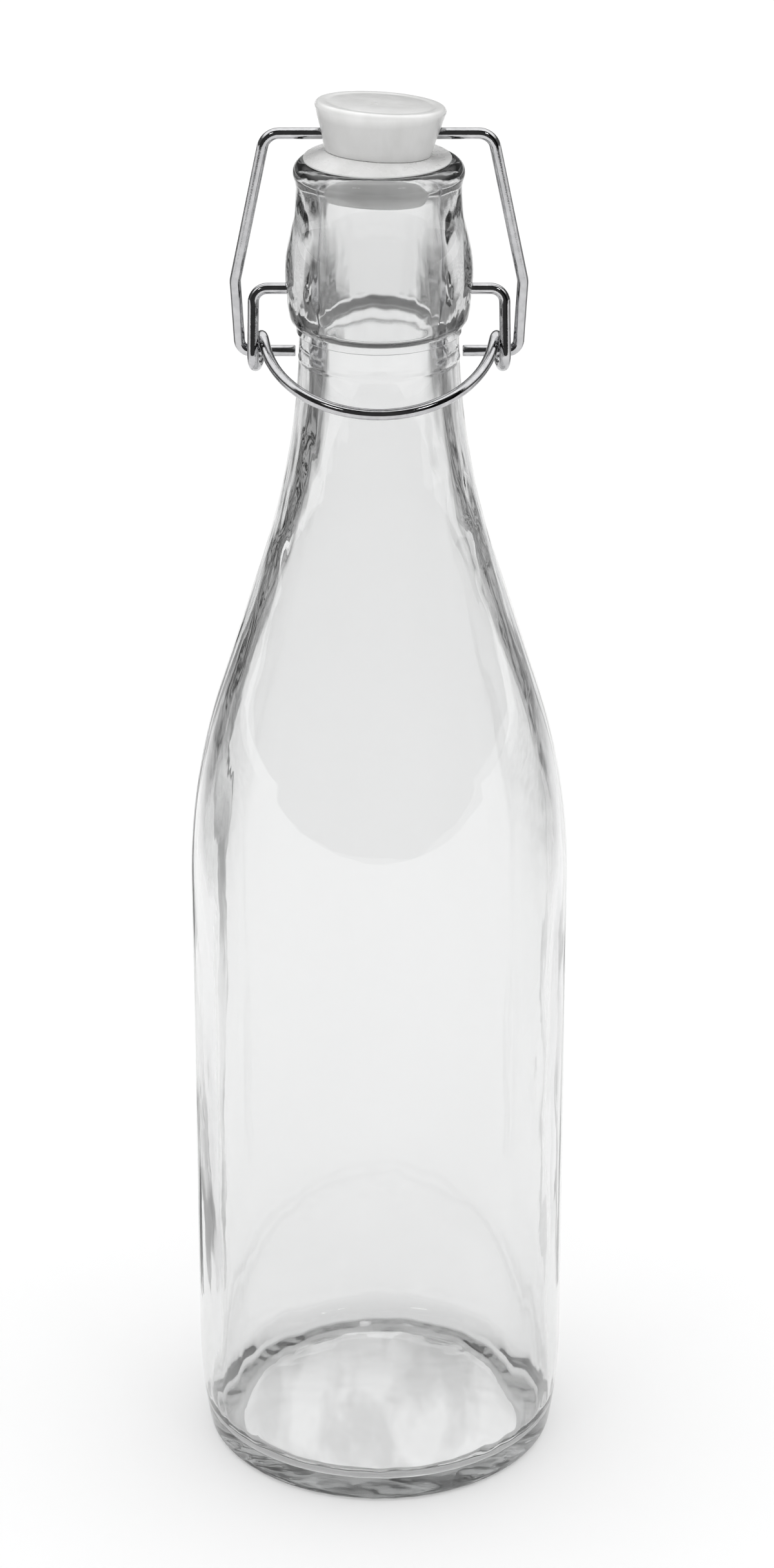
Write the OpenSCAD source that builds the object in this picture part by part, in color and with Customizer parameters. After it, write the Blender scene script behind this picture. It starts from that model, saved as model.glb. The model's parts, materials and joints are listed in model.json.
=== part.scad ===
// Swing-top bottle: a clear glass bottle with a wire lever closure and a moulded stopper.
// The origin is the centre of the base on the table, +Z is up, and the lever's handle hangs at -Y.
// All lengths are in millimetres and all angles are in degrees.

/* [Bottle body] */
// Outer radius of the straight body
body_r = 35; // [33:0.5:36]
// Glass thickness of the body wall
wall_t = 3; // [2:0.25:4]
// Height where the straight body ends and the shoulder starts
shoulder_z = 115.8; // [108:0.1:118]
// Radius of the outward curve at the top of the body
shoulder_curve_r = 127; // [118:1:135]
// Radius of the inward curve from the shoulder to the neck
neck_curve_r = 148; // [140:1:156]
// Outer radius of the neck just below the collar
neck_r = 14.1; // [13.8:0.1:14.3]
// Height of the neck's narrowest place above the raised ring
neck_rise = 2.4; // [2:0.1:3]
// Radius of the inward curve inside the neck
bore_curve_r = 140; // [120:1:146]
// Radius of the bore through the neck and the mouth
bore_r = 10.2; // [10:0.05:10.3]

/* [Bottle base] */
// Radius of the narrow rounding at the foot
foot_round = 1.8; // [1:0.1:3]
// Height over which the heel narrows
heel_h = 20; // [14:1:26]
// Radius of the long curve of the heel
heel_curve_r = 107; // [90:1:130]
// Inner radius of the flat ring that the bottle stands on
ring_in_r = 29.5; // [27:0.5:30]
// Rise of the hollow under the base
punt_h = 3.5; // [2:0.25:5]
// Glass thickness at the middle of the base
base_t = 3; // [2.5:0.25:5]
// Radius of the inside corner between the floor and the wall
floor_corner_r = 5; // [3:0.5:9]

/* [Collar and lip] */
// Largest radius of the barrel-shaped collar
collar_r = 16.55; // [16.2:0.05:16.8]
// Height of the collar's largest radius
collar_z = 232; // [231:0.25:233]
// Radius of the collar's barrel curve
barrel_curve_r = 36; // [34:1:40]
// Radius of the rounding at the bottom of the collar
collar_round = 3; // [2.5:0.1:3.2]
// Height of the raised ring under the collar
bead_z = 221.6; // [221.2:0.1:222]
// Distance from the collar's largest radius down to its lower rounding
collar_drop = 7; // [6.8:0.1:7.2]
// Radius of the raised ring under the collar
bead_r = 14.35; // [14.3:0.05:14.6]
// Radius at the narrow place under the lip
pinch_r = 14.5; // [14.3:0.05:14.6]
// Height of the narrow place under the lip
pinch_z = 247.7; // [247.5:0.1:248]
// Outer radius of the lip
lip_r = 15; // [14.8:0.05:15.2]
// Rounding of the lip's outer edge
lip_round = 2.2; // [2:0.05:2.4]
// Height of the lip's widest place
lip_z = 250.5; // [250.3:0.05:250.6]
// Rounding of the mouth's inner edge
mouth_round = 1.6; // [1.2:0.1:1.8]

/* [Wires] */
// Radius of the closure wire
wire_r = 1; // [0.8:0.05:1]
// Height of the dimples that the lever turns in
pivot_z = 229.4; // [229:0.1:230]
// Distance from the axis to the floor of each dimple
dimple_in_x = 13.2; // [12.5:0.1:13.4]
// Clearance between each of the lever's ends and the floor of its dimple
dimple_end_gap = 0.3; // [0.1:0.1:0.5]
// Radial clearance of the lever's ends in the dimples
dimple_gap = 0.1; // [0.02:0.01:0.1]
// Radius of each dimple's flared mouth
dimple_mouth_r = 2.6; // [1.5:0.1:3]
// Depth of the flare
dimple_flare_t = 2.2; // [1.5:0.1:2.6]
// Bend radius where the lever turns down beside the collar
lever_bend_r = 2.5; // [2:0.1:3]
// Distance from the axis to the lever's outer strands, at the eyes
strand_x = 22.3; // [22.1:0.05:22.35]
// Radius of the eyes, to the middle of the wire
eye_r = 2.65; // [2.5:0.05:2.7]
// Drop from the dimples to the eyes
eye_drop = 11.9; // [11.5:0.1:12]
// Distance of the eyes behind the dimples, which locks the lever when shut
over_centre = 1.5; // [1:0.1:2]
// Angle by which the coil of each eye is skewed, so that its turns lie side by side
eye_skew = 12; // [11.5:0.1:14]
// Slope of the handle below the horizontal, where it leaves the eyes
handle_slope = 26; // [24:0.5:28]
// Distance from the axis to the front of the handle
handle_y = 16.3; // [16.2:0.1:17]
// Height of the bail's crossbar
bar_z = 257.3; // [257:0.1:258]
// Half the width of the bail at its top corners
bail_top_x = 19.7; // [19.5:0.1:20.5]
// Bend radius of the bail's top corners
bail_top_bend_r = 3; // [2:0.1:4]
// Half the width of the bail at its knees
knee_x = 25.3; // [25.1:0.1:26]
// Distance of the knees below the crossbar
knee_drop = 26.8; // [25:0.1:28]
// Bend radius of the bail's knees
knee_bend_r = 4; // [2:0.5:6]
// Half the width of the bail at its feet
foot_x = 24.6; // [24.6:0.1:25]
// Bend radius of the bail's feet
foot_bend_r = 2; // [1.6:0.1:2]
// Distance from the axis to the cut end of each foot
peg_end_x = 14.8; // [14.8:0.1:16]

/* [Stopper] */
// Lean of the stopper to the right on its crossbar
stopper_lean = 3.7; // [0:0.1:4]
// Lean of the stopper to the back on its crossbar
stopper_back = 4; // [0:0.5:4.5]
// Radius of the stopper's top
stopper_r = 11.45; // [11:0.05:11.6]
// Height of the stopper's top above the crossbar
stopper_top = 5.3; // [4.8:0.1:5.6]
// Rounding of the stopper's top edge
stopper_round = 0.8; // [0.5:0.1:1.2]
// Radius of the stopper's waist, above the gasket
waist_r = 9.35; // [9.1:0.05:9.5]
// Depth of the waist below the crossbar
waist_drop = 3.3; // [3.1:0.1:3.4]
// Radius of the groove that holds the gasket
groove_r = 8.2; // [7.8:0.05:8.2]
// Depth of the groove's lower edge below the crossbar
groove_drop = 5.5; // [5.5:0.05:5.7]
// Radius of the plug at its top
plug_r = 9; // [8.8:0.05:9]
// Radius of the plug at its bottom
plug_tip_r = 8.6; // [8:0.1:8.8]
// Depth of the plug's bottom below the crossbar
plug_drop = 11.3; // [10:0.1:11.5]
// Chamfer of the plug's bottom edge
plug_tip_edge = 1; // [0.6:0.1:1.5]
// Height of the plug's widest band, under the groove
plug_band = 0.6; // [0.4:0.1:1]
// Radial clearance of the crossbar at the middle of its hole
bar_gap = 0.1; // [0.05:0.01:0.1]
// Flare of the crossbar's hole towards each side
bar_flare = 5.5; // [5.5:0.5:8]

/* [Gasket] */
// Outer radius of the gasket
gasket_r = 12.95; // [12.6:0.05:13.1]
// Radius of the hole in the gasket
gasket_hole_r = 8.6; // [8.55:0.05:8.65]
// Rounding of the gasket's lower outer edge
gasket_round = 0.15; // [0.05:0.05:0.2]
// Thickness of the gasket at its edge
gasket_edge_t = 0.4; // [0.3:0.05:0.6]
// Rise of the gasket's underside from the lip to its hole
gasket_cone = 0.4; // [0.4:0.02:0.5]
// Thickness of the gasket near its hole, before the stopper's waist presses into it
gasket_hub_t = 1.1; // [0.9:0.05:1.3]
// Gap between the gasket and the waist that presses on it
waist_gap = 0.02; // [0.02:0.01:0.05]
// Gap between the gasket and the lip, which the lever takes up as it passes its dead centre
seat_gap = 0.15; // [0.1:0.01:0.18]

/* [Hidden] */
$fn = 96;

// Steps in a long curve and in a small rounding of a turned outline
long_steps = 10;
round_steps = 6;

crest_z = lip_z + lip_round;

// The foot: a small rounding that runs smoothly into the heel's long curve
heel_a = asin((heel_h - foot_round) / (heel_curve_r - foot_round));
foot_c = [
    body_r - heel_curve_r + (heel_curve_r - foot_round) * cos(heel_a),
    foot_round
];

// The hollow under the base, and the domed floor that follows it inside
punt_curve_r = (ring_in_r * ring_in_r + punt_h * punt_h) / (2 * punt_h);
floor_z = punt_h + base_t;
floor_curve_r = punt_curve_r + base_t;
floor_c = [0, floor_z - floor_curve_r];
floor_corner_x = body_r - wall_t - floor_corner_r;
floor_a = asin(floor_corner_x / (floor_curve_r + floor_corner_r));
floor_corner_c = floor_c + (floor_curve_r + floor_corner_r) * [sin(floor_a), cos(floor_a)];

// The shoulder and the neck, outside and inside
neck_z = bead_z + neck_rise;
shoulder_c = [body_r - shoulder_curve_r, shoulder_z];
neck_c = [neck_r + neck_curve_r, neck_z];
neck_in_c = [bore_r + bore_curve_r, neck_z];
slope_a = s_angle(shoulder_c, shoulder_curve_r, neck_c, neck_curve_r);
slope_in_a = s_angle(shoulder_c, shoulder_curve_r - wall_t, neck_in_c, bore_curve_r);
neck_end_a = asin((neck_z - bead_z) / neck_curve_r);

// The collar: a barrel curve, rounded in at the bottom, and drawn in under the lip
barrel_c = [collar_r - barrel_curve_r, collar_z];
collar_low_a = -asin(collar_drop / barrel_curve_r);
collar_round_c = barrel_c + (barrel_curve_r - collar_round) * [cos(collar_low_a), sin(collar_low_a)];
collar_end_a = -acos((bead_r - collar_round_c[0]) / collar_round);
pinch_low_r = hollow_r(pinch_r - barrel_c[0], pinch_z - collar_z, barrel_curve_r);
pinch_low_a = atan2(pinch_z - collar_z, pinch_r - barrel_c[0] + pinch_low_r);
lip_c = [lip_r - lip_round, lip_z];
pinch_high_r = hollow_r(pinch_r - lip_c[0], lip_z - pinch_z, lip_round);
pinch_high_a = atan2(lip_z - pinch_z, pinch_r - lip_c[0] + pinch_high_r);
mouth_c = [bore_r + mouth_round, crest_z - mouth_round];

// The lever: two straight strands run down to one-turn eyes, whose coils are skewed to each side
eye_z = pivot_z - eye_drop;
eye_back = over_centre / cos(eye_skew);
strand_a = asin(eye_r / norm([eye_back, eye_drop])) - atan2(eye_back, eye_drop);
strand_l = eye_drop * cos(strand_a) - eye_back * sin(strand_a);
strand_turn = atan(tan(strand_a) * cos(eye_skew));
strand_foot_x = strand_x - eye_r * sin(eye_skew) * (1 - cos(strand_a));
strand_top_x = strand_foot_x - strand_l * sin(strand_a) * sin(eye_skew);
strand_drop = strand_l * norm([sin(strand_a) * cos(eye_skew), cos(strand_a)]);
coil_out_x = strand_x - eye_r * sin(eye_skew);
coil_in_x = coil_out_x - 2 * eye_r * sin(eye_skew);
coil_back = [coil_out_x - eye_r * sin(eye_skew), over_centre + eye_r * cos(eye_skew), eye_z];

// The handle: short straight ends and one round bow, in a plane that slopes down to the front
bow_slope = atan(tan(handle_slope) / cos(eye_skew));
bow_in_a = asin(cos(handle_slope) * sin(eye_skew));
leave_p = [
    coil_in_x - eye_r * sin(handle_slope) * sin(eye_skew),
    over_centre - eye_r * sin(handle_slope) * cos(eye_skew),
    eye_z + eye_r * cos(handle_slope)
];
leave_v = [
    -cos(handle_slope) * sin(eye_skew),
    -cos(handle_slope) * cos(eye_skew),
    -sin(handle_slope)
];
bow_reach = (handle_y + leave_p[1]) / cos(bow_slope);
bow_share = (1 - sin(bow_in_a)) / cos(bow_in_a);
leave_l = (bow_reach - leave_p[0] * bow_share) / (cos(bow_in_a) - sin(bow_in_a) * bow_share);
bow_r = (leave_p[0] - leave_l * sin(bow_in_a)) / cos(bow_in_a);
bow_back = bow_r - bow_reach;
bow_c = [0, leave_p[1] + bow_back * cos(bow_slope), leave_p[2] + bow_back * sin(bow_slope)];

// The bail: one flat shape that tilts back from the crossbar to the eyes
bail_h = norm([over_centre, bar_z - eye_z]);
bail_tilt = atan(over_centre / (bar_z - eye_z));

// Each stretch of wire stops just short of the next one, and a sleeve hardly wider than the wire joins them
sleeve_gap = 0.02;
sleeve_l = 0.3;
sleeve_r = wire_r + 0.03;

// Slope of the stopper's side, from upright
side_a = atan((stopper_r - waist_r) / (stopper_top - stopper_round + waist_drop));

// Height of the gasket's edge, and its shift to the side and to the front with the leaning stopper
gasket_z = crest_z + seat_gap;
gasket_drop = bar_z - gasket_z - gasket_hub_t / 2;
gasket_x = -gasket_drop * tan(stopper_lean);
gasket_y = -gasket_drop * tan(stopper_back) / cos(stopper_lean);

// Points of an arc about c, from angle a0 to angle a1
function arc(c, r, a0, a1, steps) =
    [for (i = [0:steps]) c + r * [cos(a0 + (a1 - a0) * i / steps), sin(a0 + (a1 - a0) * i / steps)]];

// Angle at which a straight line leaves a bulging arc to run smoothly into a hollow one
function s_angle(c1, r1, c2, r2) =
    atan2(c2[1] - c1[1], c2[0] - c1[0]) - acos((r1 + r2) / norm(c2 - c1));

// Radius of a hollow arc that is upright where it starts, and meets a bulging arc of radius r smoothly
function hollow_r(across, up, r) = (r * r - across * across - up * up) / (2 * (across - r));

// Direction from point a to point b, as an angle
function heading(a, b) = atan2(b[1] - a[1], b[0] - a[0]);

// Turn from direction a to direction b, between -180 and 180
function turn(a, b) = (b - a + 540) % 360 - 180;

// Outside of the glass, from the middle of the base up to the mouth
function outside() = concat(
    arc([0, punt_h - punt_curve_r], punt_curve_r, 90, 90 - asin(ring_in_r / punt_curve_r), long_steps),
    arc(foot_c, foot_round, -90, -heel_a, round_steps),
    arc([body_r - heel_curve_r, heel_h], heel_curve_r, -heel_a, 0, round_steps),
    arc(shoulder_c, shoulder_curve_r, 0, slope_a, long_steps),
    arc(neck_c, neck_curve_r, 180 + slope_a, 180 + neck_end_a, long_steps),
    [[bead_r, bead_z + bead_r - neck_r]],
    arc(collar_round_c, collar_round, collar_end_a, collar_low_a, round_steps),
    arc(barrel_c, barrel_curve_r, collar_low_a, pinch_low_a, long_steps),
    arc([pinch_r + pinch_low_r, pinch_z], pinch_low_r, 180 + pinch_low_a, 180, round_steps),
    arc([pinch_r + pinch_high_r, pinch_z], pinch_high_r, 180, 180 - pinch_high_a, round_steps),
    arc(lip_c, lip_round, -pinch_high_a, 90, long_steps)
);

// Inside of the glass, from the mouth down to the middle of the floor
function inside() = concat(
    arc(mouth_c, mouth_round, 90, 180, round_steps),
    arc(neck_in_c, bore_curve_r, 180, 180 + slope_in_a, long_steps),
    arc(shoulder_c, shoulder_curve_r - wall_t, slope_in_a, 0, long_steps),
    arc(floor_corner_c, floor_corner_r, 0, -90 - floor_a, long_steps),
    arc(floor_c, floor_curve_r, 90 - floor_a, 90, long_steps)
);

// Round wire bent in the XY plane through points p, with bend radius r[i - 1] at each inner point p[i].
// Its last end is cut off, or is joined to another stretch.
module bent_wire(p, r, last_joined = false) {
    last = len(p) - 1;
    trim = [
        for (i = [0:last])
            i == 0 || i == last
                ? 0
                : r[i - 1] * tan(abs(turn(heading(p[i - 1], p[i]), heading(p[i], p[i + 1]))) / 2)
    ];
    for (i = [0:last - 1]) {
        a = heading(p[i], p[i + 1]);
        translate(p[i] + trim[i] * [cos(a), sin(a)])
            rotate([0, 90, a])
                rod(
                    norm(p[i + 1] - p[i]) - trim[i] - trim[i + 1],
                    i > 0,
                    i < last - 1 || last_joined
                );
    }
    for (i = [1:last - 1]) {
        a_in = heading(p[i - 1], p[i]);
        a_out = heading(p[i], p[i + 1]);
        bend = turn(a_in, a_out);
        side = sign(bend);
        translate(p[i] - trim[i] * [cos(a_in), sin(a_in)] + side * r[i - 1] * [-sin(a_in), cos(a_in)])
            bend_arc(r[i - 1], side > 0 ? a_in - 90 : a_out + 90, abs(bend));
    }
}

// Straight wire along Z, with a sleeve at each end that is joined
module rod(l, low_joined = true, high_joined = true) {
    translate([0, 0, sleeve_gap])
        cylinder(r = wire_r, h = l - 2 * sleeve_gap);
    if (low_joined)
        sleeve();
    if (high_joined)
        translate([0, 0, l])
            sleeve();
}

// Part of a ring of wire about Z, over the given sweep from the start angle
module bend_arc(r, start, sweep) {
    back = atan(sleeve_gap / r);
    rotate_extrude(angle = sweep - 2 * back, start = start + back)
        translate([r, 0])
            circle(r = wire_r);
}

// Short sleeve that joins one stretch of wire to the next
module sleeve() {
    cylinder(r = sleeve_r, h = sleeve_l, center = true);
}

module bottle() {
    color([0.84, 0.88, 0.88, 0.4])
        difference() {
            rotate_extrude()
                polygon(concat(outside(), inside()));
            for (side = [-1, 1])
                translate([side * dimple_in_x, 0, pivot_z])
                    rotate([0, side * 90, 0])
                        dimple();
        }
}

// What is pressed into the collar for one end of the lever: a round hole with a flared mouth
module dimple() {
    hole_r = wire_r + dimple_gap;
    flare = (dimple_mouth_r - hole_r) / dimple_flare_t;
    cylinder(r = hole_r, h = collar_r);
    translate([0, 0, collar_r - dimple_flare_t - dimple_in_x])
        cylinder(r1 = hole_r, r2 = hole_r + flare * collar_r, h = collar_r);
}

// One side of the lever: the end in the dimple, the strand, the eye and the start of the handle
module lever_side() {
    translate([0, 0, pivot_z])
        rotate([90 - strand_turn, 0, 0])
            bent_wire(
                [[dimple_in_x + dimple_end_gap, 0], [strand_top_x, 0], [strand_foot_x, -strand_drop]],
                [lever_bend_r],
                last_joined = true
            );
    translate([coil_out_x, over_centre, eye_z])
        rotate([90, 0, 90 + eye_skew])
            bend_arc(eye_r, 180 - strand_a, 180 + strand_a);
    translate([coil_in_x, over_centre, eye_z])
        rotate([90, 0, 90 - eye_skew])
            bend_arc(eye_r, 0, 90 + handle_slope);
    translate(leave_p)
        rotate([0, acos(leave_v[2]), atan2(leave_v[1], leave_v[0])])
            rod(leave_l);
    translate(coil_back)
        sleeve();
}

module lever_wire() {
    color([0.72, 0.73, 0.75])
        union() {
            lever_side();
            mirror([1, 0, 0])
                lever_side();
            translate(bow_c)
                rotate([180 + bow_slope, 0, 0])
                    bend_arc(bow_r, bow_in_a, 180 - 2 * bow_in_a);
        }
}

module bail_wire() {
    half = [[bail_top_x, 0], [knee_x, -knee_drop], [foot_x, -bail_h], [peg_end_x, -bail_h]];
    bends = [bail_top_bend_r, knee_bend_r, foot_bend_r];
    color([0.72, 0.73, 0.75])
        translate([0, 0, bar_z])
            rotate([90 + bail_tilt, 0, 0])
                bent_wire(
                    concat([for (i = [3:-1:0]) [-half[i][0], half[i][1]]], half),
                    concat([for (i = [2:-1:0]) bends[i]], bends)
                );
}

module stopper() {
    top_c = [stopper_r - stopper_round, stopper_top - stopper_round];
    color([0.93, 0.93, 0.92])
        translate([0, 0, bar_z])
            rotate([-stopper_back, stopper_lean, 0])
                difference() {
                    rotate_extrude()
                        polygon(concat(
                            [[0, -plug_drop], [plug_tip_r - plug_tip_edge, -plug_drop]],
                            [[plug_tip_r, plug_tip_edge - plug_drop]],
                            [[plug_r, -groove_drop - plug_band], [plug_r, -groove_drop]],
                            [[groove_r, -groove_drop], [groove_r, -waist_drop], [waist_r, -waist_drop]],
                            arc(top_c, stopper_round, -side_a, 90, round_steps),
                            [[0, stopper_top]]
                        ));
                    for (side = [-1, 1])
                        rotate([0, side * 90, 0])
                            cylinder(
                                r1 = wire_r + bar_gap,
                                r2 = wire_r + bar_gap + stopper_r * tan(bar_flare),
                                h = stopper_r
                            );
                }
}

module gasket() {
    color([0.90, 0.90, 0.89])
        difference() {
            translate([gasket_x, gasket_y, gasket_z])
                rotate_extrude()
                    polygon([
                        [gasket_r - gasket_round, 0],
                        [gasket_r, gasket_round],
                        [gasket_r, gasket_edge_t],
                        [waist_r, gasket_cone + gasket_hub_t],
                        [gasket_hole_r, gasket_cone + gasket_hub_t],
                        [gasket_hole_r, gasket_cone]
                    ]);
            translate([0, 0, bar_z])
                rotate([-stopper_back, stopper_lean, 0])
                    translate([0, 0, -waist_drop - waist_gap])
                        cylinder(
                            r1 = waist_r + waist_gap,
                            r2 = waist_r + waist_gap + waist_drop * tan(side_a),
                            h = waist_drop
                        );
        }
}

bottle();
lever_wire();
bail_wire();
stopper();
gasket();
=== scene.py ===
"""Looks of the swing-top bottle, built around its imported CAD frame. Lengths are in metres unless a name says mm."""

import json
import math

import bmesh
import bpy
import numpy as np
from mathutils import Matrix, Vector, noise

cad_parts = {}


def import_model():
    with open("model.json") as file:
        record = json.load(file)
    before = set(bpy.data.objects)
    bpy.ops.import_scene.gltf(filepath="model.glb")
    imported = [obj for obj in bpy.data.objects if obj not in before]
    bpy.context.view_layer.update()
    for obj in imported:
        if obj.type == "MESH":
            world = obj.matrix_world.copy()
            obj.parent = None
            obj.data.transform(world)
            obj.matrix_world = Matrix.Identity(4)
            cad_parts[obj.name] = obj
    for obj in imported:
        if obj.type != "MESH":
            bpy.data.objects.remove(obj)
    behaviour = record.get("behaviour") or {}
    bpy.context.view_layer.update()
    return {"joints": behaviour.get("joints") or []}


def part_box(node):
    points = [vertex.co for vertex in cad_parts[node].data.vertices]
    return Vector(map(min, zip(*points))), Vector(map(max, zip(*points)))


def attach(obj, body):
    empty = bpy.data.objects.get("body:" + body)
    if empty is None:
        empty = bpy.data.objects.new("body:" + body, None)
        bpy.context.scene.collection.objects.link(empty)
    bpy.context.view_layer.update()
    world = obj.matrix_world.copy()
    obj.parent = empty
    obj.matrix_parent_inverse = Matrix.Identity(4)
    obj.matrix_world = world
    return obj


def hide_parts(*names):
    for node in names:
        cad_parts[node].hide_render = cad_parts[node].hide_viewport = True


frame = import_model()

MM = 0.001
JOINTS = {j["name"]: j for j in frame["joints"]}
PIVOT = Vector(JOINTS["lever_pivot"]["pos_m"])
EYE = Vector(JOINTS["eye_pivot"]["pos_m"])
BAR = Vector(JOINTS["stopper_pivot"]["pos_m"])

# ---------------------------------------------------------------- small helpers


def polar(a):
    """Unit vector at a degrees, as two numbers."""
    return np.array([math.cos(math.radians(a)), math.sin(math.radians(a))])


def arc(c, r, a0, a1, pitch=0.6 * MM):
    """Points of an arc about c from angle a0 to a1, in degrees, at most a pitch apart."""
    steps = max(4, math.ceil(abs(math.radians(a1 - a0)) * r / pitch))
    return [tuple(np.array(c) + r * polar(a0 + (a1 - a0) * i / steps)) for i in range(steps + 1)]


def line(a, b, pitch=1.5 * MM):
    """Points from a to b, both left out, at most a pitch apart."""
    a, b = np.array(a, float), np.array(b, float)
    steps = max(1, math.ceil(np.linalg.norm(b - a) / pitch))
    return [tuple(a + (b - a) * i / steps) for i in range(1, steps)]


def s_angle(c1, r1, c2, r2):
    """Angle at which a straight line leaves a bulging arc to run smoothly into a hollow one."""
    across = np.array(c2) - np.array(c1)
    return math.degrees(math.atan2(across[1], across[0]) - math.acos((r1 + r2) / np.linalg.norm(across)))


def hollow_r(across, up, r):
    """Radius of a hollow arc, upright where it starts, that meets a bulging arc of radius r smoothly."""
    return (r * r - across * across - up * up) / (2 * (across - r))


def new_object(name, verts, faces, sharp_deg=40):
    """A mesh object with smooth shading, and sharp edges where faces meet at more than sharp_deg."""
    mesh = bpy.data.meshes.new(name)
    mesh.from_pydata([tuple(v) for v in verts], [], faces)
    mesh.validate()
    work = bmesh.new()
    work.from_mesh(mesh)
    bmesh.ops.remove_doubles(work, verts=work.verts, dist=1e-7)
    bmesh.ops.recalc_face_normals(work, faces=work.faces)
    work.to_mesh(mesh)
    work.free()
    mesh.shade_smooth()
    mesh.set_sharp_from_angle(angle=math.radians(sharp_deg))
    obj = bpy.data.objects.new(name, mesh)
    bpy.context.scene.collection.objects.link(obj)
    return obj


def turned(name, outline, segments, closed=False, sharp_deg=40, uneven=None):
    """A solid of revolution about Z. An open outline runs from axis to axis; a closed one goes round a ring.
    uneven moves a point, given the point and its place in the outline."""
    verts, faces = [], []
    rings = []
    turns = np.linspace(0, 2 * math.pi, segments, False)
    for i, (r, z) in enumerate(outline):
        if r < 1e-9:
            rings.append([len(verts)] * segments)
            verts.append((0.0, 0.0, z))
            continue
        rings.append(list(range(len(verts), len(verts) + segments)))
        ring = [Vector((r * math.cos(t), r * math.sin(t), z)) for t in turns]
        verts += [uneven(p, i) for p in ring] if uneven else ring
    pairs = list(zip(rings, rings[1:]))
    if closed:
        pairs.append((rings[-1], rings[0]))
    for low, high in pairs:
        for i in range(segments):
            k = (i + 1) % segments
            corners = list(dict.fromkeys([low[i], low[k], high[k], high[i]]))
            if len(corners) > 2:
                faces.append(corners)
    return new_object(name, verts, faces, sharp_deg)


def place(obj, matrix):
    """Moves a mesh's points, so that its object stays at the origin."""
    obj.data.transform(matrix)
    obj.data.update()


def cut(obj, cutter):
    """Cuts one solid out of another and removes the cutter."""
    bpy.context.view_layer.update()
    mod = obj.modifiers.new("cut", "BOOLEAN")
    mod.operation, mod.solver, mod.object = "DIFFERENCE", "EXACT", cutter
    made = bpy.data.meshes.new_from_object(obj.evaluated_get(bpy.context.evaluated_depsgraph_get()))
    obj.modifiers.remove(mod)
    obj.data = made
    bpy.data.objects.remove(cutter)


# ---------------------------------------------------------------- the camera

CAMERA_AT = (1.4 * MM, -0.724, 0.451)
CAMERA_DOWN_DEG = 23.62
LENS_MM = 98.3

camera = bpy.data.objects.new("camera", bpy.data.cameras.new("camera"))
bpy.context.scene.collection.objects.link(camera)
camera.location = CAMERA_AT
camera.rotation_euler = (math.radians(90 - CAMERA_DOWN_DEG), 0, 0)
camera.data.lens = LENS_MM
camera.data.sensor_width = 36
camera.data.clip_end = 100
bpy.context.scene.camera = camera

# ---------------------------------------------------------------- materials


class Nodes:
    """Short way to build a material's node tree."""

    def __init__(self, name):
        self.material = bpy.data.materials.new(name)
        self.material.use_nodes = True
        self.tree = self.material.node_tree
        self.tree.nodes.clear()
        self.out = self.add("ShaderNodeOutputMaterial")

    def add(self, kind, **values):
        node = self.tree.nodes.new(kind)
        for key, value in values.items():
            if hasattr(node, key):
                setattr(node, key, value)
            else:
                node.inputs[key.replace("_", " ")].default_value = value
        return node

    def link(self, a, b):
        self.tree.links.new(a, b)

    def noise(self, scale, detail=3.0, stretch=(1, 1, 1)):
        """Noise in the object's own space. Its scale is per metre."""
        spot = self.add("ShaderNodeTexCoord")
        mapping = self.add("ShaderNodeMapping")
        mapping.inputs["Scale"].default_value = stretch
        texture = self.add("ShaderNodeTexNoise")
        texture.inputs["Scale"].default_value = scale
        texture.inputs["Detail"].default_value = detail
        self.link(spot.outputs["Object"], mapping.inputs["Vector"])
        self.link(mapping.outputs["Vector"], texture.inputs["Vector"])
        return texture.outputs["Fac"]

    def from_axis(self):
        """Distance from the object's Z axis."""
        spot = self.add("ShaderNodeTexCoord")
        flat = self.add("ShaderNodeVectorMath", operation="MULTIPLY")
        flat.inputs[1].default_value = (1, 1, 0)
        length = self.add("ShaderNodeVectorMath", operation="LENGTH")
        self.link(spot.outputs["Object"], flat.inputs[0])
        self.link(flat.outputs["Vector"], length.inputs[0])
        return length.outputs["Value"]

    def largest(self, a, b):
        node = self.add("ShaderNodeMath", operation="MAXIMUM")
        self.link(a, node.inputs[0])
        self.link(b, node.inputs[1])
        return node.outputs["Value"]

    def by_height(self, tones):
        """A grey that changes with height in the object's own space, given (height, grey) pairs from low to high."""
        spot, split = self.add("ShaderNodeTexCoord"), self.add("ShaderNodeSeparateXYZ")
        self.link(spot.outputs["Object"], split.inputs["Vector"])
        start, end = tones[0][0], tones[-1][0]
        greys = self.add("ShaderNodeValToRGB")
        stops = greys.color_ramp.elements
        for _ in tones[2:]:
            stops.new(0.5)
        for stop, (z, grey) in zip(stops, tones):
            stop.position = (z - start) / (end - start)
            stop.color = (grey, grey, grey, 1)
        self.link(self.between(split.outputs["Z"], 0, 1, start, end), greys.inputs["Fac"])
        return greys.outputs["Color"]

    def between(self, value, low, high, start=0.3, end=0.7):
        """Maps a noise value to a range."""
        node = self.add("ShaderNodeMapRange")
        for key, number in zip(("From Min", "From Max", "To Min", "To Max"), (start, end, low, high)):
            node.inputs[key].default_value = number
        self.link(value, node.inputs["Value"])
        return node.outputs["Result"]

    def mixed(self, factor, colour_a, colour_b):
        """A colour between two."""
        node = self.add("ShaderNodeMix", data_type="RGBA")
        self.link(factor, node.inputs["Factor"])
        node.inputs["A"].default_value = (*colour_a, 1)
        node.inputs["B"].default_value = (*colour_b, 1)
        return node.outputs["Result"]

    def bump(self, height, strength, distance):
        node = self.add("ShaderNodeBump")
        node.inputs["Strength"].default_value = strength
        node.inputs["Distance"].default_value = distance
        self.link(height, node.inputs["Height"])
        return node.outputs["Normal"]


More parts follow.
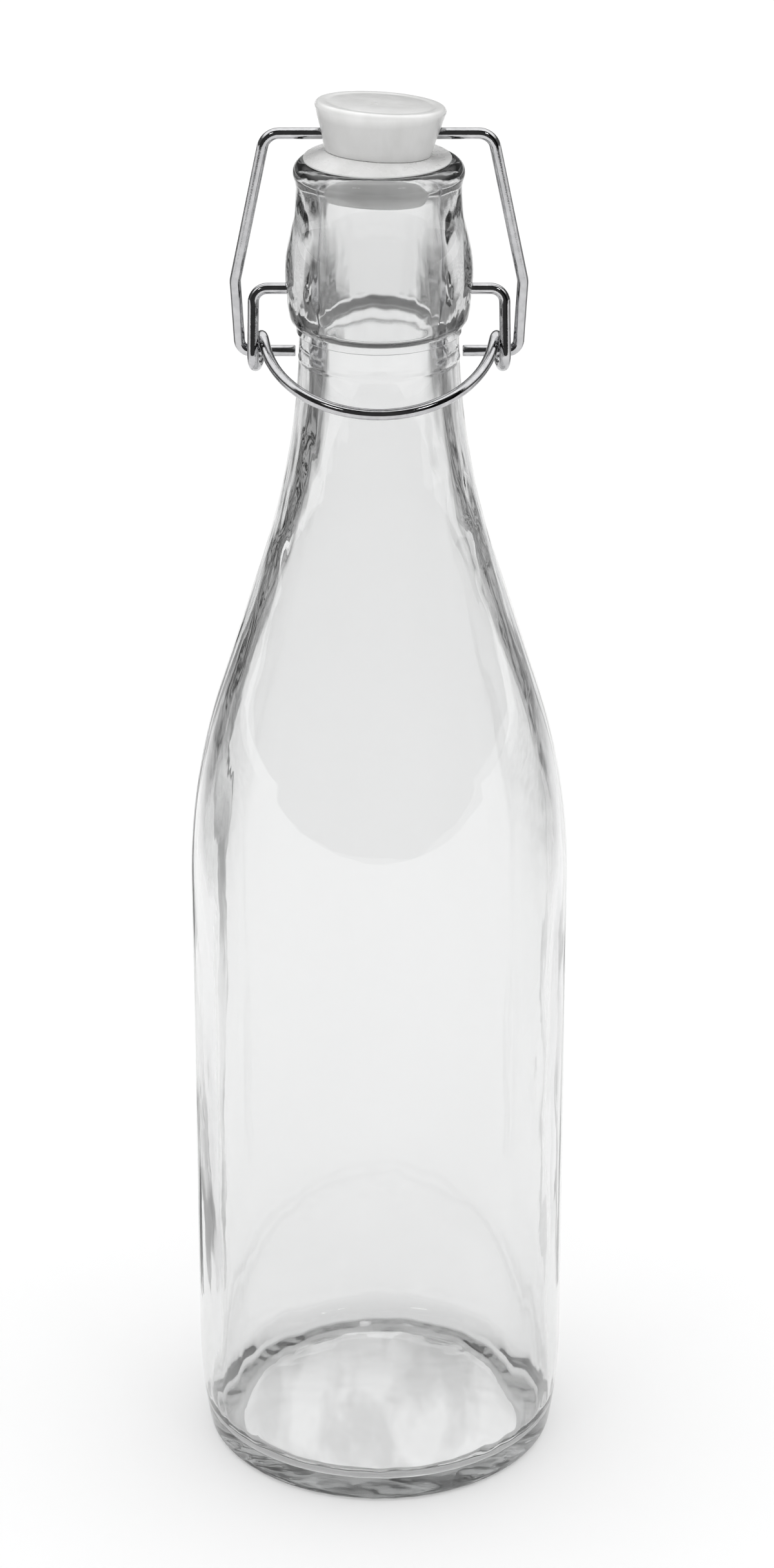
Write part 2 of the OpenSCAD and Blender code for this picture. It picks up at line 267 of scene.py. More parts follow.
def glass_material():
    """Clear bottle glass: almost even outside, with a faint ripple, and hazy inside the neck."""
    n = Nodes("clear_glass")
    shader = n.add("ShaderNodeBsdfPrincipled")
    shader.inputs["Base Color"].default_value = (0.955, 0.957, 0.957, 1)
    shader.inputs["Transmission Weight"].default_value = 1.0
    shader.inputs["IOR"].default_value = 1.52
    haze = n.between(n.from_axis(), 0.09, 0, 10.8 * MM, 11.6 * MM)
    n.link(n.largest(haze, n.between(n.noise(60, 4), 0.0, 0.035)), shader.inputs["Roughness"])
    n.link(n.bump(n.noise(160, 3, (1, 1, 0.35)), 0.25, 0.1 * MM), shader.inputs["Normal"])
    clear = n.add("ShaderNodeBsdfTransparent")
    clear.inputs["Color"].default_value = (1, 1, 1, 1)
    path = n.add("ShaderNodeLightPath")
    mix = n.add("ShaderNodeMixShader")
    n.link(path.outputs["Is Shadow Ray"], mix.inputs["Fac"])
    n.link(shader.outputs["BSDF"], mix.inputs[1])
    n.link(clear.outputs["BSDF"], mix.inputs[2])
    n.link(mix.outputs["Shader"], n.out.inputs["Surface"])
    tint = n.add("ShaderNodeVolumeAbsorption")
    tint.inputs["Color"].default_value = (0.2, 0.21, 0.208, 1)
    tint.inputs["Density"].default_value = 21.0
    n.link(tint.outputs["Volume"], n.out.inputs["Volume"])
    return n.material


def wire_material():
    """Bright nickel-plated spring steel, with drawing lines along the wire and dull rubbed spots."""
    n = Nodes("plated_wire")
    shader = n.add("ShaderNodeBsdfPrincipled")
    shader.inputs["Metallic"].default_value = 1.0
    patches = n.noise(700, 4)
    n.link(n.mixed(patches, (0.36, 0.36, 0.37), (0.68, 0.68, 0.69)), shader.inputs["Base Color"])
    n.link(n.between(n.noise(2400, 5), 0.02, 0.09), shader.inputs["Roughness"])
    n.link(n.bump(n.noise(5000, 4), 0.3, 0.02 * MM), shader.inputs["Normal"])
    n.link(shader.outputs["BSDF"], n.out.inputs["Surface"])
    return n.material


def plastic_material(name, tones, roughness):
    """Milky, satin plastic or rubber with faint flow marks. Its grey follows height, as set by tones; on the stopper
    these tones are painted light and shade.
    """
    n = Nodes(name)
    shader = n.add("ShaderNodeBsdfPrincipled")
    blend = n.add("ShaderNodeMix", data_type="RGBA", blend_type="MULTIPLY")
    blend.inputs["Factor"].default_value = 1.0
    marks = n.between(n.noise(260, 5, (1, 1, 0.4)), 0, 1)
    n.link(n.by_height(tones), blend.inputs["A"])
    n.link(n.mixed(marks, (0.9, 0.9, 0.89), (1, 1, 0.995)), blend.inputs["B"])
    n.link(blend.outputs["Result"], shader.inputs["Base Color"])
    n.link(n.between(n.noise(500, 4), *roughness), shader.inputs["Roughness"])
    n.link(n.bump(n.noise(700, 3), 0.3, 0.05 * MM), shader.inputs["Normal"])
    shader.inputs["IOR"].default_value = 1.5
    shader.inputs["Subsurface Weight"].default_value = 0.3
    shader.inputs["Subsurface Radius"].default_value = (1, 1, 1)
    shader.inputs["Subsurface Scale"].default_value = 0.8 * MM
    n.link(shader.outputs["BSDF"], n.out.inputs["Surface"])
    return n.material


# ---------------------------------------------------------------- the glass

BODY_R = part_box("bottle")[1].x
CREST_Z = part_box("bottle")[1].z
GLASS_SEGMENTS = 212
COLLAR_R = 16.55 * MM
MOULD_JOINT_Z = 217.3 * MM
DIMPLE_X = 13.2 * MM


def glass_outlines():
    """The bottle's outside, from the middle of the base up to the mouth, and its inside, from the mouth down."""
    wall, shoulder_z, shoulder_curve, neck_curve = 3 * MM, 115.8 * MM, 127 * MM, 148 * MM
    neck_r, bore_r, bore_curve = 14.1 * MM, 10.2 * MM, 140 * MM
    foot, heel_h, heel_curve = 1.8 * MM, 20 * MM, 107 * MM
    ring_r, punt_h, base, corner = 29.5 * MM, 3.5 * MM, 3 * MM, 5 * MM
    collar_r, collar_z, barrel_curve, collar_round = COLLAR_R, 232 * MM, 36 * MM, 3 * MM
    bead_z, bead_r = 221.6 * MM, 14.35 * MM
    pinch_r, pinch_z, lip_r, lip_round, mouth_round = 14.5 * MM, 247.7 * MM, 15 * MM, 2.2 * MM, 1.6 * MM

    lip_c = (lip_r - lip_round, CREST_Z - lip_round)
    heel_a = math.degrees(math.asin((heel_h - foot) / (heel_curve - foot)))
    foot_c = (BODY_R - heel_curve + (heel_curve - foot) * polar(heel_a)[0], foot)
    punt_curve = (ring_r ** 2 + punt_h ** 2) / (2 * punt_h)
    punt_a = math.degrees(math.asin(ring_r / punt_curve))
    neck_z = bead_z + 2.4 * MM
    shoulder_c = (BODY_R - shoulder_curve, shoulder_z)
    neck_c = (neck_r + neck_curve, neck_z)
    slope = s_angle(shoulder_c, shoulder_curve, neck_c, neck_curve)
    neck_end = math.degrees(math.asin((neck_z - bead_z) / neck_curve))
    joint_a = math.degrees(math.asin((neck_z - MOULD_JOINT_Z + 1 * MM) / neck_curve))
    barrel_c = np.array([collar_r - barrel_curve, collar_z])
    low_a = -math.degrees(math.asin(7 * MM / barrel_curve))
    round_c = barrel_c + (barrel_curve - collar_round) * polar(low_a)
    end_a = -math.degrees(math.acos((bead_r - round_c[0]) / collar_round))
    low_r = hollow_r(pinch_r - barrel_c[0], pinch_z - collar_z, barrel_curve)
    pinch_low = math.degrees(math.atan2(pinch_z - collar_z, pinch_r - barrel_c[0] + low_r))
    high_r = hollow_r(pinch_r - lip_c[0], lip_c[1] - pinch_z, lip_round)
    pinch_high = math.degrees(math.atan2(lip_c[1] - pinch_z, pinch_r - lip_c[0] + high_r))
    fine = 0.25 * MM
    outside = (
        arc((0, punt_h - punt_curve), punt_curve, 90, 90 - punt_a, 1.5 * MM)
        + arc(foot_c, foot, -90, -heel_a, fine)
        + arc((BODY_R - heel_curve, heel_h), heel_curve, -heel_a, 0, 1.2 * MM)[1:]
        + line((BODY_R, heel_h), (BODY_R, shoulder_z), 2.5 * MM)
        + arc(shoulder_c, shoulder_curve, 0, slope, 2 * MM)
        + line(shoulder_c + shoulder_curve * polar(slope), neck_c - neck_curve * polar(slope), 2.5 * MM)
        + arc(neck_c, neck_curve, 180 + slope, 180 + joint_a, 1.5 * MM)
        + arc(neck_c, neck_curve, 180 + joint_a, 180 + neck_end, 0.2 * MM)[1:]
        + arc((bead_r, bead_z + 0.4 * MM), 0.25 * MM, -90, 0, 0.08 * MM)
        + arc(round_c, collar_round, end_a, low_a, fine)
        + arc(barrel_c, barrel_curve, low_a, pinch_low, 0.6 * MM)[1:]
        + arc((pinch_r + low_r, pinch_z), low_r, 180 + pinch_low, 180, 0.4 * MM)[1:]
        + arc((pinch_r + high_r, pinch_z), high_r, 180, 180 - pinch_high, fine)[1:]
        + arc(lip_c, lip_round, -pinch_high, 90, fine)[1:]
    )
    inner_slope_c = (bore_r + bore_curve, neck_z)
    inner_curve = shoulder_curve - wall
    slope_in = s_angle(shoulder_c, inner_curve, inner_slope_c, bore_curve)
    floor_curve = punt_curve + base
    floor_c = np.array([0, punt_h + base - floor_curve])
    floor_a = math.degrees(math.asin((BODY_R - wall - corner) / (floor_curve + corner)))
    corner_c = floor_c + (floor_curve + corner) * polar(90 - floor_a)
    inside = (
        arc((bore_r + mouth_round, CREST_Z - mouth_round), mouth_round, 90, 180, fine)
        + line((bore_r, CREST_Z - mouth_round), (bore_r, neck_z), 1.5 * MM)
        + arc(inner_slope_c, bore_curve, 180, 180 + slope_in, 1.5 * MM)
        + line(inner_slope_c - bore_curve * polar(slope_in), shoulder_c + inner_curve * polar(slope_in), 2.5 * MM)
        + arc(shoulder_c, inner_curve, slope_in, 0, 2 * MM)
        + line((BODY_R - wall, shoulder_z), (BODY_R - wall, corner_c[1]), 2.5 * MM)
        + arc(corner_c, corner, 0, -90 - floor_a, 0.5 * MM)
        + arc(floor_c, floor_curve, 90 - floor_a, 90, 1.5 * MM)[1:]
    )
    return outside, inside


def ripple(p, wide, tall):
    """Smooth random value from -1 to 1 at a point, for unevenness of the given width and height."""
    return noise.noise(Vector((p.x / wide, p.y / wide, p.z / tall)))


def ramp(value, start, end):
    """0 up to start, 1 from end on, and a straight rise between."""
    return min(1.0, max(0.0, (value - start) / (end - start)))


def uneven_inside(p):
    """The blown inside: long waves in the body, streaks up the neck, and a rippled floor."""
    r = math.hypot(p.x, p.y)
    neck = ramp(p.z, 150 * MM, 190 * MM) * (1 - ramp(p.z, CREST_Z - 5 * MM, CREST_Z - 2 * MM))
    body = ramp(p.z, 8 * MM, 18 * MM) * (1 - neck) * (1 - ramp(p.z, 200 * MM, 230 * MM))
    push = body * (0.28 * ripple(p, 15 * MM, 50 * MM) + 0.03 * ripple(p, 3.5 * MM, 12 * MM))
    push += neck * (0.12 * ripple(p, 3.2 * MM, 16 * MM) + 0.04 * ripple(p, 1.2 * MM, 6 * MM))
    low = 1 - ramp(p.z, 9 * MM, 14 * MM)
    push += 0.2 * low * ramp(r, 22 * MM, 26 * MM) * ripple(p, 2.6 * MM, 4 * MM)
    waves = 0.4 * ripple(p, 10 * MM, 60 * MM) + 0.12 * ripple(p, 3.5 * MM, 60 * MM)
    rise = low * waves * (1 - ramp(r, 23 * MM, 28 * MM))
    return Vector((p.x * (1 + push * MM / r), p.y * (1 + push * MM / r), p.z + rise * MM))


def uneven_outside(p):
    """The moulded outside: a mottled collar, a fine ridge where the moulds meet, and a knurled foot."""
    r = math.hypot(p.x, p.y)
    neck = ramp(p.z, 120 * MM, 150 * MM) * (1 - ramp(p.z, 245 * MM, 248 * MM))
    low_collar = ramp(p.z, 221.8 * MM, 223 * MM) * (1 - ramp(p.z, 229 * MM, 234 * MM))
    mottle = low_collar * ramp(abs(p.x), 5.5 * MM, 9 * MM)
    pad = math.exp(-((p.y / (3.5 * MM)) ** 2) - ((p.z - 240.5 * MM) / (3.5 * MM)) ** 2)
    push = 0.05 * neck * ripple(p, 6 * MM, 20 * MM)
    push += 0.1 * max(mottle, pad) * (ripple(p, 1.5 * MM, 1.8 * MM) - 0.5) - 0.25 * pad
    push += 0.1 * math.exp(-(((p.z - MOULD_JOINT_Z) / (0.3 * MM)) ** 2))
    foot = (1 - ramp(p.z, 0.5 * MM, 2 * MM)) * ramp(r, 27 * MM, 29 * MM)
    knurl = 0.07 * foot * (1 + math.cos(GLASS_SEGMENTS / 4 * math.atan2(p.y, p.x)) * ripple(p, 7 * MM, 1))
    return Vector((p.x * (1 + push * MM / r), p.y * (1 + push * MM / r), p.z + knurl * MM))


def make_glass():
    """The bottle: a turned solid, uneven as pressed and blown glass is, with a dimple on each side."""
    outside, inside = glass_outlines()

    def uneven(p, i):
        return uneven_inside(p) if i >= len(outside) else uneven_outside(p)

    bottle = turned("bottle_glass", outside + inside, GLASS_SEGMENTS, uneven=uneven)
    for side in (1, -1):
        cutter = turned("dimple", dimple_outline(), 48)
        place(cutter, Matrix.Translation((side * DIMPLE_X, 0, PIVOT.z)) @ Matrix.Rotation(side * math.pi / 2, 4, "Y"))
        cut(bottle, cutter)
    bottle.data.shade_smooth()
    bottle.data.set_sharp_from_angle(angle=math.radians(40))
    return bottle


def dimple_outline():
    """Half outline of what is pressed into the collar: a round-ended hole with a flared mouth."""
    hole_r, mouth_r, flare_t, end = 1.12 * MM, 2.6 * MM, 2.2 * MM, 5 * MM
    start = COLLAR_R - flare_t - DIMPLE_X
    widest = hole_r + (mouth_r - hole_r) * (end - start) / flare_t
    return (
        [(0, 0)]
        + arc((hole_r - 0.4 * MM, 0.4 * MM), 0.4 * MM, -90, 0, 0.1 * MM)
        + [(hole_r, start - 0.2 * MM), (hole_r + 0.04 * MM, start), (hole_r + 0.15 * MM, start + 0.2 * MM)]
        + [(widest, end), (0, end)]
    )


# ---------------------------------------------------------------- the wires

WIRE_R = 1 * MM
WIRE_SIDES = 40


def filleted(points, radii, pitch=0.35 * MM):
    """The points of a bent wire's middle line: straight stretches, with a round bend at each inner point."""
    points = [Vector(p) for p in points]
    path = [points[0]]
    for i, r in enumerate(radii, 1):
        before, after = (points[i] - points[i - 1]).normalized(), (points[i + 1] - points[i]).normalized()
        turn = before.angle(after)
        start = points[i] - before * r * math.tan(turn / 2)
        inward = (after - before * after.dot(before)).normalized()
        centre = start + inward * r
        steps = max(6, math.ceil(turn * r / pitch))
        path += [
            centre + r * (before * math.sin(turn * k / steps) - inward * math.cos(turn * k / steps))
            for k in range(steps + 1)
        ]
    return path + [points[-1]]


def spaced(path, pitch=0.5 * MM):
    """The path with points added on its long straight stretches, and none doubled."""
    made = [path[0]]
    for p in path[1:]:
        gap = (p - made[-1]).length
        if gap < 1e-7:
            continue
        steps = max(1, round(gap / pitch))
        a = made[-1]
        made += [a.lerp(p, k / steps) for k in range(1, steps + 1)]
    return made


def wire(name, path):
    """A round wire swept along the path, with slightly rounded cut ends."""
    path = spaced(path)
    tangents = [(b - a).normalized() for a, b in zip([path[0]] + path[:-1], path[1:] + [path[-1]])]
    side = tangents[0].orthogonal().normalized()
    edge = 0.18 * MM
    rings = []
    for i, (p, t) in enumerate(zip(path, tangents)):
        side = (side - t * side.dot(t)).normalized()
        other = t.cross(side)
        stations = [(0.0, WIRE_R)]
        if i == 0:
            stations = [(0.0, 0.0), (0.0, WIRE_R - edge), (edge * 0.3, WIRE_R - edge * 0.3), (edge, WIRE_R)]
        elif i == len(path) - 1:
            stations = [(-edge, WIRE_R), (-edge * 0.3, WIRE_R - edge * 0.3), (0.0, WIRE_R - edge), (0.0, 0.0)]
        for along, r in stations:
            c = p + t * along
            turns = np.linspace(0, 2 * math.pi, WIRE_SIDES, False)
            rings.append([c + side * (r * math.cos(a)) + other * (r * math.sin(a)) for a in turns])
    verts = [v for ring in rings for v in ring]
    faces = []
    for i in range(len(rings) - 1):
        for k in range(WIRE_SIDES):
            n = (k + 1) % WIRE_SIDES
            a, b = i * WIRE_SIDES, (i + 1) * WIRE_SIDES
            faces.append((a + k, a + n, b + n, b + k))
    return new_object(name, verts, faces, 50)


def make_bail():
    """The upper wire: crossbar, legs with a knee, and feet that point inwards through the eyes."""
    top, knee, foot, end = 19.7 * MM, 25.3 * MM, 24.6 * MM, 14.8 * MM
    knee_share = 26.8 * MM / (EYE - BAR).length
    half = [(top, 0), (knee, knee_share), (foot, 1), (end, 1)]
    line_of = [(-x, s) for x, s in half[::-1]] + half
    points = [BAR + (EYE - BAR) * s + Vector((x, 0, 0)) for x, s in line_of]
    return wire("bail_wire_round", filleted(points, [2 * MM, 4 * MM, 3 * MM, 3 * MM, 4 * MM, 2 * MM]))


def make_lever():
    """The lower wire: ends in the dimples, strands, one-turn eyes, and the bow that is the handle."""
    eye_r, skew, strand_x, slope = 2.65 * MM, math.radians(12), 22.3 * MM, math.radians(26)
    inner_end, bend, reach = 13.5 * MM, 2.5 * MM, 16.3 * MM
    drop, back = PIVOT.z - EYE.z, EYE.y / math.cos(skew)
    a = math.asin(eye_r / math.hypot(back, drop)) - math.atan2(back, drop)
    length = drop * math.cos(a) - back * math.sin(a)
    out_x = strand_x - eye_r * math.sin(skew)
    in_x = out_x - 2 * eye_r * math.sin(skew)
    up = Vector((0, 0, 1))
    to_back_1 = Vector((-math.sin(skew), math.cos(skew), 0))
    to_back_2 = Vector((math.sin(skew), math.cos(skew), 0))
    centre_1, centre_2 = Vector((out_x, EYE.y, EYE.z)), Vector((in_x, EYE.y, EYE.z))

    def turn(centre, to_back, start, end, steps=48):
        turns = np.linspace(start, end, steps + 1)
        return [centre + eye_r * (to_back * math.cos(t) + up * math.sin(t)) for t in turns]

    coil = turn(centre_1, to_back_1, math.pi - a, 2 * math.pi) + turn(centre_2, to_back_2, 0, math.pi / 2 + slope)
    foot = coil[0]
    head = foot + length * (to_back_1 * math.sin(a) + up * math.cos(a))
    start = Vector((inner_end, 0, PIVOT.z))
    right = filleted([start, Vector((head.x, 0, PIVOT.z)), foot], [bend])[:-1] + coil
    leave = right[-1]
    away = -(to_back_2 * math.cos(slope) + up * math.sin(slope))
    bow_slope = math.atan(math.tan(slope) / math.cos(skew))
    bow_in = math.asin(math.cos(slope) * math.sin(skew))
    bow_reach = (reach + leave.y) / math.cos(bow_slope)
    share = (1 - math.sin(bow_in)) / math.cos(bow_in)
    straight = (bow_reach - leave.x * share) / (math.cos(bow_in) - math.sin(bow_in) * share)
    bow_r = (leave.x - straight * math.sin(bow_in)) / math.cos(bow_in)
    ahead = Vector((0, -math.cos(bow_slope), -math.sin(bow_slope)))
    centre = Vector((0, leave.y, leave.z)) - ahead * (bow_r - bow_reach)
    bow = [
        centre + bow_r * (Vector((math.cos(t), 0, 0)) + ahead * math.sin(t))
        for t in np.linspace(bow_in, math.pi - bow_in, 140)
    ]
    left = [Vector((-p.x, p.y, p.z)) for p in right[::-1]]
    return wire("lever_wire_round", right + [leave + away * straight] + bow[1:] + left)


# ---------------------------------------------------------------- the stopper and the gasket

STOPPER_TURN = Matrix.Rotation(math.radians(3.7), 4, "Y") @ Matrix.Rotation(math.radians(-4), 4, "X")
WAIST_R, WAIST_Z = 9.35 * MM, -3.3 * MM


def make_stopper():
    """The moulded plug, leaning on the crossbar: wide top, cone, waist, groove and plug, with its gate mark."""
    top_r, top_z, edge = 11.45 * MM, 5.3 * MM, 0.8 * MM
    groove_r, groove_z, plug_r, tip_r, tip_z = 8.2 * MM, -5.5 * MM, 9 * MM, 8.6 * MM, -11.3 * MM
    soft, fine = 0.3 * MM, 0.12 * MM
    side = math.degrees(math.atan((top_r - WAIST_R) / (top_z - edge - WAIST_Z)))
    outline = (
        [(0, tip_z + 1.2 * MM), (tip_r - 2.2 * MM, tip_z + 1.2 * MM), (tip_r - 2.0 * MM, tip_z + 1.0 * MM)]
        + [(tip_r - 1.8 * MM, tip_z + 0.1 * MM)]
        + arc((tip_r - 0.8 * MM, tip_z + 0.8 * MM), 0.8 * MM, -90, 0, fine)
        + line((tip_r, tip_z + 0.8 * MM), (plug_r, groove_z - 0.6 * MM), 0.8 * MM)
        + arc((plug_r - soft, groove_z - soft), soft, 0, 90, fine)
        + [(groove_r, groove_z), (groove_r, WAIST_Z)]
        + arc((WAIST_R - soft, WAIST_Z + soft), soft, -90, -side, fine)
        + line((WAIST_R, WAIST_Z + soft), (top_r, top_z - edge), 0.6 * MM)
        + arc((top_r - edge, top_z - edge), edge, -side, 90, fine)
        + arc((top_r - edge - 1.6 * MM, top_z + 2.9 * MM), 3 * MM, -75, -100, 0.3 * MM)
        + [(3 * MM, top_z - 0.12 * MM), (0, top_z - 0.12 * MM)]
    )
    stopper = turned("stopper_moulded", outline, 160, sharp_deg=50, uneven=lambda p, i: stopper_seam(p))
    for at in ((-1.1 * MM, 0.8 * MM), (-1.2 * MM, -1.1 * MM)):
        gate = turned("gate", [(0, -1 * MM), (0.7 * MM, -0.9 * MM), (0.8 * MM, 0.4 * MM), (0, 0.4 * MM)], 24)
        place(gate, Matrix.Translation((*at, top_z - 0.12 * MM)) @ Matrix.Diagonal((1, 0.3, 1, 1)))
        cut(stopper, gate)
    flare = (WIRE_R + 0.1 * MM, WIRE_R + 0.1 * MM + top_r * math.tan(math.radians(5.5)))
    for side in (1, -1):
        hole = turned("hole", [(0, 0), (flare[0], 0), (flare[1], top_r * 1.05), (0, top_r * 1.05)], 40)
        place(hole, Matrix.Rotation(side * math.pi / 2, 4, "Y"))
        cut(stopper, hole)
    place(stopper, Matrix.Translation(BAR) @ STOPPER_TURN)
    stopper.data.shade_smooth()
    stopper.data.set_sharp_from_angle(angle=math.radians(50))
    return stopper


def stopper_seam(p):
    """Raises the mould's seam, front and back, on the stopper's cone."""
    r = math.hypot(p.x, p.y)
    if not WAIST_Z < p.z < 4 * MM or r < WAIST_R - 0.4 * MM:
        return p
    push = 1 + 0.08 * MM * math.exp(-((p.x / (0.25 * MM)) ** 2)) / r
    return Vector((p.x * push, p.y * push, p.z))


def make_gasket():
    """The soft washer: its thin edge lies on the lip, and its middle is pressed down by the leaning waist."""
    low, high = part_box("gasket")
    centre = (low + high) / 2
    outer_r, hole_r, edge_t = (high.x - low.x) / 2, 8.6 * MM, 0.4 * MM
    cone, hub_z, bend = 0.4 * MM, 1.5 * MM, 0.15 * MM
    waist = Matrix.Translation(BAR) @ STOPPER_TURN @ Matrix.Translation((0, 0, WAIST_Z - 0.02 * MM))
    normal, middle = waist.to_3x3() @ Vector((0, 0, 1)), waist.translation
    top = (
        arc((outer_r - bend, edge_t - bend), bend, 0, 85, 0.04 * MM)
        + line((outer_r - bend, edge_t), (WAIST_R, hub_z), 0.25 * MM)
        + [(WAIST_R, hub_z), (WAIST_R - 0.15 * MM, hub_z), (hole_r, hub_z)]
    )
    under = line((hole_r, cone), (outer_r - bend, 0), 0.25 * MM) + arc(
        (outer_r - bend, bend), bend, -90, 0, 0.04 * MM
    )

    def pressed(p, i):
        x, y = p.x + centre.x, p.y + centre.y
        waist_z = middle.z - (normal.x * (x - middle.x) + normal.y * (y - middle.y)) / normal.z
        bend_to = waist_z - low.z - hub_z
        if i >= len(top):
            bend_to = min(0.3 * MM, max(-0.45 * MM, bend_to))
        share = ramp(outer_r - math.hypot(p.x, p.y), 0, outer_r - WAIST_R)
        return Vector((p.x, p.y, p.z + bend_to * share * share * (3 - 2 * share)))

    gasket = turned("gasket_washer", top + [(hole_r, cone)] + under, 160, closed=True, uneven=pressed)
    place(gasket, Matrix.Translation((centre.x, centre.y, low.z)))
    return gasket


# ---------------------------------------------------------------- building the pieces

glass, metal = glass_material(), wire_material()
# Painted light and shade on the stopper: the plug inside the mouth is painted brighter, the waist and cone sides
# darker, and the top brighter again.
PLUG_LIGHT_AND_SHADE_GREYS = ((-8, 0.95), (-4, 0.8), (0, 0.73), (3.5, 0.73), (5, 0.9))
plug_painted_light_and_shade = [(BAR.z + mm * MM, grey) for mm, grey in PLUG_LIGHT_AND_SHADE_GREYS]
seal_tones = [(CREST_Z, 0.78), (CREST_Z + 2 * MM, 0.84)]
poly = plastic_material("stopper_plastic", plug_painted_light_and_shade, (0.08, 0.2))
seal = plastic_material("gasket_rubber", seal_tones, (0.22, 0.36))

PIECES = [
    (make_glass(), glass, "bottle", "glass", "clear_glass"),
    (make_lever(), metal, "lever_wire", "lever", "plated_wire"),
    (make_bail(), metal, "bail_wire", "bail", "plated_wire"),
    (make_stopper(), poly, "stopper", "plug", "stopper_plastic"),
    (make_gasket(), seal, "gasket", "plug", "gasket_rubber"),
]
for piece, material, node, body, slot in PIECES:
    piece.data.materials.clear()
    piece.data.materials.append(material)
    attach(piece, body)
    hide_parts(node)

# ---------------------------------------------------------------- the studio


def sheet(w, h, lean=0.0):
    """Corners of an upright card whose upper edge is shifted sideways by lean."""
    w, h = w / 2, h / 2
    return [(-w, -h, 0), (w, -h, 0), (w + lean, h, 0), (lean - w, h, 0)]


def hide(obj):
    """Leaves a panel of the studio to glass and metal: the camera and matt surfaces miss it."""
    obj.visible_camera = obj.visible_diffuse = obj.visible_shadow = False
    obj.visible_volume_scatter = False


def card(name, at, corners, towards, dark, light, mottle=1.0):
    """A flat panel that faces a point, mottled between two greys. Only glass and metal see it: it casts no shadow
    and the camera misses it. mottle is the number of noise waves per metre."""
    obj = new_object(name, corners, [tuple(range(len(corners)))])
    n = Nodes(name)
    glow = n.add("ShaderNodeEmission")
    patches = n.between(n.noise(mottle, 3, (1, 0.25, 1)), 0, 1, 0.42, 0.58)
    n.link(n.mixed(patches, (dark, dark, dark), (light, light, light)), glow.inputs["Color"])
    n.link(glow.outputs["Emission"], n.out.inputs["Surface"])
    obj.data.materials.append(n.material)
    obj.location = at
    obj.rotation_euler = (Vector(towards) - Vector(at)).to_track_quat("Z", "Y").to_euler()
    hide(obj)


def side_ground(name, side, dark, light):
    """Darker ground behind the bottle and to one side, that fades in from the floor's own tone."""
    near, dark_from, far, back, z = side * 0.2, side * 0.42, side * 2.2, 2.0, 4 * MM
    full_y, floor_tone = 0.18, 0.98
    obj = new_object(name, [(near, 0, z), (far, 0, z), (far, back, z), (near, back, z)], [(0, 1, 2, 3)])
    n = Nodes(name)
    glow = n.add("ShaderNodeEmission")
    spot, split = n.add("ShaderNodeTexCoord"), n.add("ShaderNodeSeparateXYZ")
    n.link(spot.outputs["Object"], split.inputs["Vector"])
    both = n.add("ShaderNodeMath", operation="MULTIPLY")
    n.link(n.between(split.outputs["X"], 0, 1, near, dark_from), both.inputs[0])
    n.link(n.between(split.outputs["Y"], 0, 1, 0, full_y), both.inputs[1])
    fade = n.add("ShaderNodeMix", data_type="RGBA")
    fade.inputs["A"].default_value = (floor_tone, floor_tone, floor_tone, 1)
    n.link(both.outputs["Value"], fade.inputs["Factor"])
    patches = n.between(n.noise(12, 3), 0, 1, 0.42, 0.58)
    n.link(n.mixed(patches, (dark, dark, dark), (light, light, light)), fade.inputs["B"])
    n.link(fade.outputs["Result"], glow.inputs["Color"])
    n.link(glow.outputs["Emission"], n.out.inputs["Surface"])
    obj.data.materials.append(n.material)
    hide(obj)


def softbox(name, at, size, towards, watts):
    """A soft area light that faces a point."""
    data = bpy.data.lights.new(name, "AREA")
    data.shape, data.size, data.size_y, data.energy = "RECTANGLE", size[0], size[1], watts
    obj = bpy.data.objects.new(name, data)
    bpy.context.scene.collection.objects.link(obj)
    obj.location = at
    obj.rotation_euler = (Vector(at) - Vector(towards)).to_track_quat("Z", "Y").to_euler()
    return obj


def floor():
    """The plain pale surface that the bottle stands on."""
    half = 8
    corners = [(-half, -half, 0), (half, -half, 0), (half, half, 0), (-half, half, 0)]
    obj = new_object("floor", corners, [(0, 1, 2, 3)])
    n = Nodes("floor")
    shader = n.add("ShaderNodeBsdfPrincipled")
    shader.inputs["Base Color"].default_value = (0.93, 0.93, 0.93, 1)
    shader.inputs["Roughness"].default_value = 0.9
    shader.inputs["Specular IOR Level"].default_value = 0.1
    n.link(shader.outputs["BSDF"], n.out.inputs["Surface"])
    obj.data.materials.append(n.material)


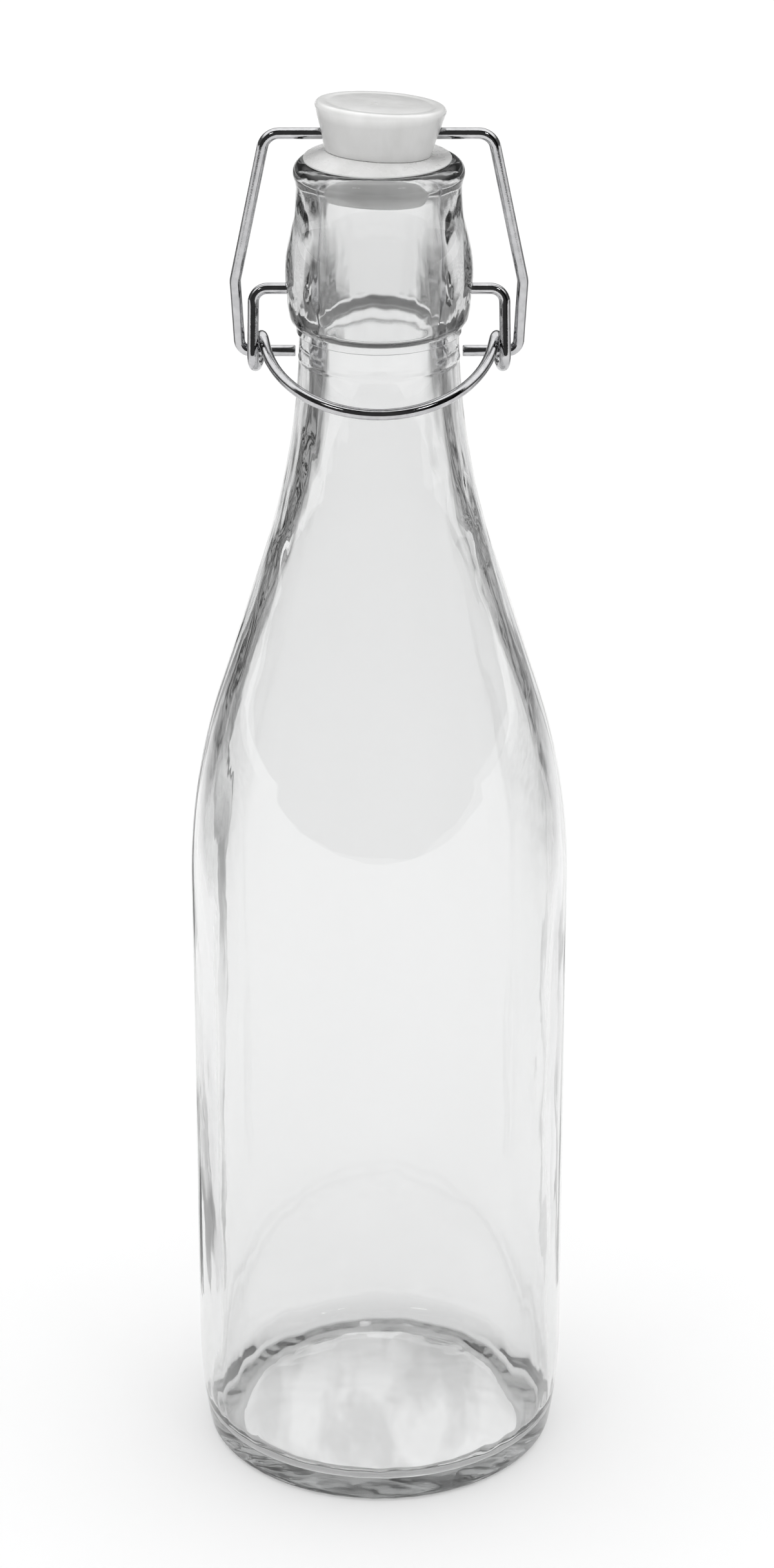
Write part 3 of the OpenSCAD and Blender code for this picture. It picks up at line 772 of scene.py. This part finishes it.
def world(ring, top):
    """Surroundings that are dark just above the horizon and bright overhead, like a room with a lit ceiling."""
    made = bpy.data.worlds.new("studio")
    made.use_nodes = True
    tree = made.node_tree
    background = tree.nodes["Background"]
    spot = tree.nodes.new("ShaderNodeTexCoord")
    split = tree.nodes.new("ShaderNodeSeparateXYZ")
    sky = tree.nodes.new("ShaderNodeValToRGB")
    for stop, (height, grey) in zip(sky.color_ramp.elements, ((0.35, ring), (0.6, top))):
        stop.position = height
        stop.color = (grey, grey, grey, 1)
    tree.links.new(spot.outputs["Generated"], split.inputs["Vector"])
    tree.links.new(split.outputs["Z"], sky.inputs["Fac"])
    tree.links.new(sky.outputs["Color"], background.inputs["Color"])
    bpy.context.scene.world = made


MIDDLE = (0, 0, 0.14)
SOFTBOX_X, SOFTBOX_SIZE, SOFTBOX_WATTS = 0.5, (0.2, 0.09), 0.4
HORIZON, CEILING = 0.12, 1.413
ROOM_Z, FLAG_Z, FLAG_H, FLAG_LEAN, FLAG_WAVES = 1.82, 0.08, 0.16, 14 * MM, 90
DISC = [(*(26 * MM * polar(a)), 0) for a in range(0, 360, 6)]

floor()
world(HORIZON, CEILING)
for name, side in (("key_left", -1), ("key_right", 1)):
    softbox(name, (side * SOFTBOX_X, -0.75, 0.95), SOFTBOX_SIZE, MIDDLE, SOFTBOX_WATTS)
card("dark_room", (0, -0.8, ROOM_Z), sheet(4, 3.6), (0, 0, ROOM_Z), 0.0, 0.05)
FLAGS = [
    ("flag_left", (-0.055, 0.042, FLAG_Z), sheet(0.011, FLAG_H, FLAG_LEAN), 0.15, 0.9),
    ("flag_right", (0.056, 0.043, FLAG_Z), sheet(0.008, FLAG_H, -FLAG_LEAN), 0.4, 0.95),
]
for name, at, corners, dark, light in FLAGS:
    card(name, at, corners, (0, 0, FLAG_Z), dark, light, FLAG_WAVES)
side_ground("ground_left", -1, 0.0, 0.4)
side_ground("ground_right", 1, 0.1, 0.5)
# Painted light: a glowing disc under the bottle, seen only through the glass, that brightens the shaded floor under
# the base and paints mottled swirls into it.
card("painted_glow_under_base", (0, 0, 0.3 * MM), DISC, (0, 0, 1), 0.72, 0.94, 110)

scene = bpy.context.scene
scene.view_settings.view_transform = "Standard"
scene.cycles.max_bounces = 32
scene.cycles.glossy_bounces = 20
scene.cycles.transmission_bounces = 20
scene.cycles.transparent_max_bounces = 16
